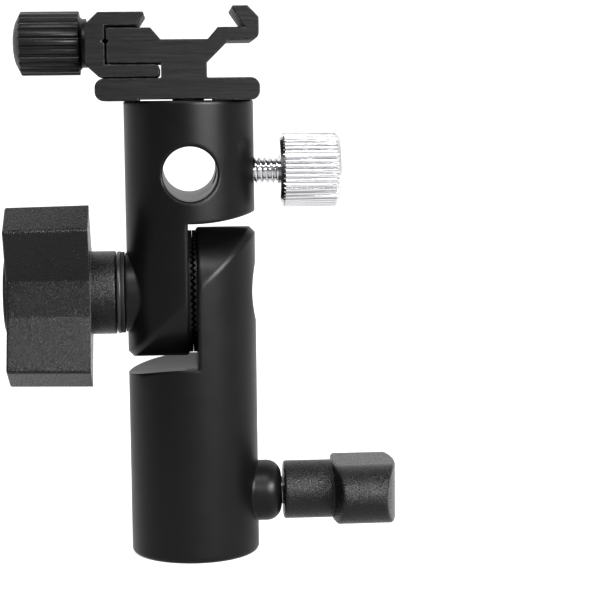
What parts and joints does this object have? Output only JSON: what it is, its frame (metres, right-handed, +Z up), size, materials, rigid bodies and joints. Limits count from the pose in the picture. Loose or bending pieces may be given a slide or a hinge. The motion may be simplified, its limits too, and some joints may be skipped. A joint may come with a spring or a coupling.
{
  "type": "umbrella swivel bracket",
  "caption": "Swivel bracket that clamps to a light stand's stud, tilts on a toothed joint, and holds an umbrella shaft and a shoe-mounted flash.",
  "frame": {"origin": "centre of the stud socket's mouth, on the bottom face", "axes": "+Z up the bracket along the socket; +X towards the two clamp screws; +Y towards the back, along the umbrella hole"},
  "size_m": [0.0785, 0.0323, 0.1102],
  "materials": {
    "body_black": "smooth satin black coat over aluminium",
    "shoe_black": "matte black anodised extrusion with fine draw lines",
    "rosette_black": "gloss black toothed steel",
    "dark_steel": "black oxide steel",
    "spring_steel": "plain spring wire",
    "washer_black": "dull black nylon washer",
    "knob_plastic": "black plastic with a fine moulded grain",
    "insert_black": "satin black metal",
    "chrome": "bright nickel plate",
    "pad_nylon": "natural nylon",
    "pad_brass": "turned brass",
    "screw_steel": "zinc-plated steel",
    "shoe_knob_plastic": "satin black ribbed plastic"
  },
  "bodies": {
    "base": {"base_body": "body_black", "lower_rosette": "rosette_black", "tilt_bolt": "dark_steel", "tilt_spring": "spring_steel"},
    "tilt_carriage": {"tilt_washer": "washer_black"},
    "tilt_grip": {"tilt_knob": "knob_plastic", "tilt_knob_insert": "insert_black"},
    "head": {"head_body": "body_black", "upper_rosette": "rosette_black", "shoe_base": "shoe_black", "shoe_stud": "screw_steel", "shoe_jaw_spring": "spring_steel"},
    "umbrella_pad": {"umbrella_screw_pad": "pad_nylon"},
    "umbrella_thumbscrew": {"umbrella_screw": "chrome"},
    "lock_pad": {"stud_lock_pad": "pad_brass"},
    "lock_grip": {"stud_lock_knob": "knob_plastic", "stud_lock_screw": "screw_steel"},
    "jaw": {"shoe_jaw": "shoe_black"},
    "shoe_grip": {"shoe_knob": "shoe_knob_plastic", "shoe_clamp_screw": "screw_steel"}
  },
  "joints": [
    {"name": "tilt_draw", "type": "slide", "parent": "base", "child": "tilt_carriage", "axis": [1, 0, 0], "range_m": [-0.0008, 0.0005], "deforming": ["tilt_spring"]},
    {"name": "tilt_knob_turn", "type": "hinge", "parent": "tilt_carriage", "child": "tilt_grip", "pos_m": [-0.025, 0, 0.0535], "axis": [1, 0, 0], "range_deg": [-360.01, 225.01]},
    {"name": "tilt", "type": "hinge", "parent": "tilt_carriage", "child": "head", "pos_m": [0, 0, 0.0535], "axis": [1, 0, 0], "range_deg": [-90, 90]},
    {"name": "umbrella_pad_slide", "type": "slide", "parent": "head", "child": "umbrella_pad", "axis": [-1, 0, 0], "range_m": [-0.00106, 0.00423]},
    {"name": "umbrella_screw_turn", "type": "hinge", "parent": "umbrella_pad", "child": "umbrella_thumbscrew", "pos_m": [0.02, 0, 0.0778], "axis": [-1, 0, 0], "range_deg": [-360.01, 1440.01]},
    {"name": "lock_pad_slide", "type": "slide", "parent": "base", "child": "lock_pad", "axis": [-1, 0, 0], "range_m": [-0.002, 0.0004]},
    {"name": "stud_lock_turn", "type": "hinge", "parent": "lock_pad", "child": "lock_grip", "pos_m": [0.03, 0, 0.012], "axis": [-1, 0, 0], "range_deg": [-720.01, 144.01]},
    {"name": "jaw_slide", "type": "slide", "parent": "head", "child": "jaw", "axis": [-1, 0, 0], "range_m": [0, 0.0035], "deforming": ["shoe_jaw_spring"]},
    {"name": "shoe_knob_turn", "type": "hinge", "parent": "jaw", "child": "shoe_grip", "pos_m": [-0.028, 0, 0.1035], "axis": [-1, 0, 0], "range_deg": [-0.01, 2520.01]}
  ],
  "couplings": [
    {"joint": "tilt_knob_turn", "follows": "tilt_draw", "rad_per_m": 7854},
    {"joint": "umbrella_screw_turn", "follows": "umbrella_pad_slide", "rad_per_m": 5938.7},
    {"joint": "stud_lock_turn", "follows": "lock_pad_slide", "rad_per_m": 6283.2},
    {"joint": "shoe_knob_turn", "follows": "jaw_slide", "rad_per_m": 12566}
  ]
}
